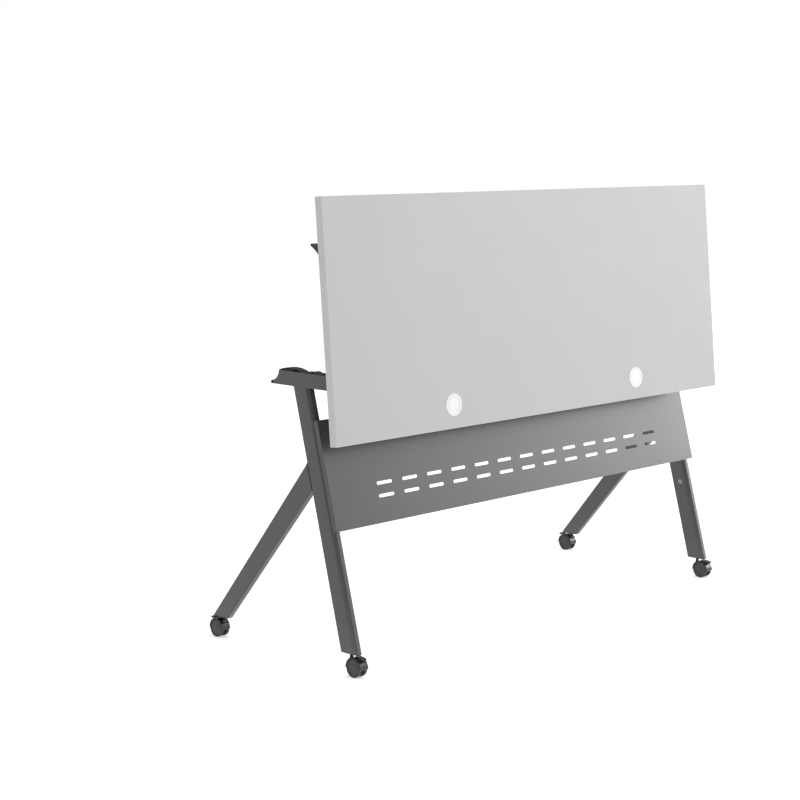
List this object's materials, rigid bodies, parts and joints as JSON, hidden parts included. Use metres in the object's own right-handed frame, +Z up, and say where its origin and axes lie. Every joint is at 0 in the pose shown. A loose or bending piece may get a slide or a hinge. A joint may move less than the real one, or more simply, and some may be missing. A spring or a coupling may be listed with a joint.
{
  "type": "flip top training table",
  "caption": "Training table whose top flips upright for storage, on sloping leg frames with twin wheel casters, a slotted modesty panel and cable grommets.",
  "frame": {"origin": "on the floor, in the middle of the object's box with the top stored upright", "axes": "+X along the worktop, +Y from the panel side to the user's side, +Z up"},
  "size_m": [1.5, 0.563, 1.1304],
  "materials": {
    "laminate": "light grey melamine laminate on particleboard, matt",
    "edge_band": "light grey ABS edge band, matt",
    "frame_steel": "dark grey powder coat, fine texture",
    "black_steel": "black oxide and paint",
    "black_plastic": "moulded black nylon",
    "wheel_nylon": "moulded dark grey nylon, satin",
    "zinc_steel": "bright zinc plate",
    "rubber": "black rubber",
    "grommet_white": "moulded white ABS, satin"
  },
  "bodies": {
    "frame": {"main_leg_left": "frame_steel", "main_leg_right": "frame_steel", "rear_leg_left": "frame_steel", "rear_leg_right": "frame_steel", "head_left": "frame_steel", "head_right": "frame_steel", "front_foot_plugs": "black_plastic", "rear_foot_plugs": "black_plastic", "cross_beam": "frame_steel", "beam_end_plates": "frame_steel", "beam_bolts": "zinc_steel", "modesty_panel": "frame_steel", "panel_screws": "zinc_steel", "keeper_pins": "black_steel", "rest_leaves": "black_steel", "detent_leaves": "black_steel", "leg_nutserts": "zinc_steel", "pivot_bushes": "black_plastic", "stored_stops": "rubber"},
    "worktop": {"worktop_board": "laminate", "edge_band": "edge_band", "arm_left": "frame_steel", "arm_right": "frame_steel", "arm_screws": "zinc_steel", "pivot_bolts": "zinc_steel", "stop_pads": "rubber", "grommet_sleeve_left": "grommet_white", "grommet_sleeve_right": "grommet_white", "spring_cups": "black_plastic"},
    "release_bar": {"release_lever_left": "black_steel", "release_lever_right": "black_steel", "lever_grip_left": "black_plastic", "lever_grip_right": "black_plastic", "sync_rod": "frame_steel"},
    "grommet_lid_left": {"grommet_cap_left": "grommet_white"},
    "grommet_lid_right": {"grommet_cap_right": "grommet_white"},
    "front_left_caster": {"front_left_hood": "black_plastic", "front_left_stem": "black_steel", "front_left_axle": "zinc_steel"},
    "front_left_outer_wheel": {"front_left_wheel_outer": "wheel_nylon"},
    "front_left_inner_wheel": {"front_left_wheel_inner": "wheel_nylon"},
    "front_left_brake_lever": {"front_left_brake": "black_plastic"},
    "front_right_caster": {"front_right_hood": "black_plastic", "front_right_stem": "black_steel", "front_right_axle": "zinc_steel"},
    "front_right_outer_wheel": {"front_right_wheel_outer": "wheel_nylon"},
    "front_right_inner_wheel": {"front_right_wheel_inner": "wheel_nylon"},
    "front_right_brake_lever": {"front_right_brake": "black_plastic"},
    "rear_left_caster": {"rear_left_hood": "black_plastic", "rear_left_stem": "black_steel", "rear_left_axle": "zinc_steel"},
    "rear_left_outer_wheel": {"rear_left_wheel_outer": "wheel_nylon"},
    "rear_left_inner_wheel": {"rear_left_wheel_inner": "wheel_nylon"},
    "rear_left_brake_lever": {"rear_left_brake": "black_plastic"},
    "rear_right_caster": {"rear_right_hood": "black_plastic", "rear_right_stem": "black_steel", "rear_right_axle": "zinc_steel"},
    "rear_right_outer_wheel": {"rear_right_wheel_outer": "wheel_nylon"},
    "rear_right_inner_wheel": {"rear_right_wheel_inner": "wheel_nylon"},
    "rear_right_brake_lever": {"rear_right_brake": "black_plastic"}
  },
  "joints": [
    {"name": "top_flip", "type": "hinge", "parent": "frame", "child": "worktop", "pos_m": [0, -0.183, 0.6895], "axis": [-1, 0, 0], "range_deg": [0, 85.1]},
    {"name": "release_squeeze", "type": "hinge", "parent": "worktop", "child": "release_bar", "pos_m": [0, -0.17779, 0.92592], "axis": [1, 0, 0], "range_deg": [0, 18], "stiffness_Nm_per_rad": 2, "springref_deg": -28.65},
    {"name": "grommet_lift_left", "type": "slide", "parent": "worktop", "child": "grommet_lid_left", "axis": [0, -0.9963, 0.0854], "range_m": [0, 0.025]},
    {"name": "grommet_lift_right", "type": "slide", "parent": "worktop", "child": "grommet_lid_right", "axis": [0, -0.9963, 0.0854], "range_m": [0, 0.025]},
    {"name": "front_left_swivel", "type": "hinge", "parent": "frame", "child": "front_left_caster", "pos_m": [-0.692, -0.2346, 0.055], "axis": [0, 0, 1], "continuous": true},
    {"name": "front_left_outer_spin", "type": "hinge", "parent": "front_left_caster", "child": "front_left_outer_wheel", "pos_m": [-0.692, -0.252, 0.023], "axis": [1, 0, 0], "continuous": true},
    {"name": "front_left_inner_spin", "type": "hinge", "parent": "front_left_caster", "child": "front_left_inner_wheel", "pos_m": [-0.692, -0.252, 0.023], "axis": [1, 0, 0], "continuous": true},
    {"name": "front_left_brake_press", "type": "hinge", "parent": "front_left_caster", "child": "front_left_brake_lever", "pos_m": [-0.692, -0.2665, 0.0472], "axis": [1, 0, 0], "range_deg": [0, 20]},
    {"name": "front_right_swivel", "type": "hinge", "parent": "frame", "child": "front_right_caster", "pos_m": [0.692, -0.2346, 0.055], "axis": [0, 0, 1], "continuous": true},
    {"name": "front_right_outer_spin", "type": "hinge", "parent": "front_right_caster", "child": "front_right_outer_wheel", "pos_m": [0.692, -0.252, 0.023], "axis": [1, 0, 0], "continuous": true},
    {"name": "front_right_inner_spin", "type": "hinge", "parent": "front_right_caster", "child": "front_right_inner_wheel", "pos_m": [0.692, -0.252, 0.023], "axis": [1, 0, 0], "continuous": true},
    {"name": "front_right_brake_press", "type": "hinge", "parent": "front_right_caster", "child": "front_right_brake_lever", "pos_m": [0.692, -0.2665, 0.0472], "axis": [1, 0, 0], "range_deg": [0, 20]},
    {"name": "rear_left_swivel", "type": "hinge", "parent": "frame", "child": "rear_left_caster", "pos_m": [-0.692, 0.2346, 0.055], "axis": [0, 0, 1], "continuous": true},
    {"name": "rear_left_outer_spin", "type": "hinge", "parent": "rear_left_caster", "child": "rear_left_outer_wheel", "pos_m": [-0.692, 0.252, 0.023], "axis": [1, 0, 0], "continuous": true},
    {"name": "rear_left_inner_spin", "type": "hinge", "parent": "rear_left_caster", "child": "rear_left_inner_wheel", "pos_m": [-0.692, 0.252, 0.023], "axis": [1, 0, 0], "continuous": true},
    {"name": "rear_left_brake_press", "type": "hinge", "parent": "rear_left_caster", "child": "rear_left_brake_lever", "pos_m": [-0.692, 0.2665, 0.0472], "axis": [-1, 0, 0], "range_deg": [0, 20]},
    {"name": "rear_right_swivel", "type": "hinge", "parent": "frame", "child": "rear_right_caster", "pos_m": [0.692, 0.2346, 0.055], "axis": [0, 0, 1], "continuous": true},
    {"name": "rear_right_outer_spin", "type": "hinge", "parent": "rear_right_caster", "child": "rear_right_outer_wheel", "pos_m": [0.692, 0.252, 0.023], "axis": [1, 0, 0], "continuous": true},
    {"name": "rear_right_inner_spin", "type": "hinge", "parent": "rear_right_caster", "child": "rear_right_inner_wheel", "pos_m": [0.692, 0.252, 0.023], "axis": [1, 0, 0], "continuous": true},
    {"name": "rear_right_brake_press", "type": "hinge", "parent": "rear_right_caster", "child": "rear_right_brake_lever", "pos_m": [0.692, 0.2665, 0.0472], "axis": [-1, 0, 0], "range_deg": [0, 20]}
  ]
}
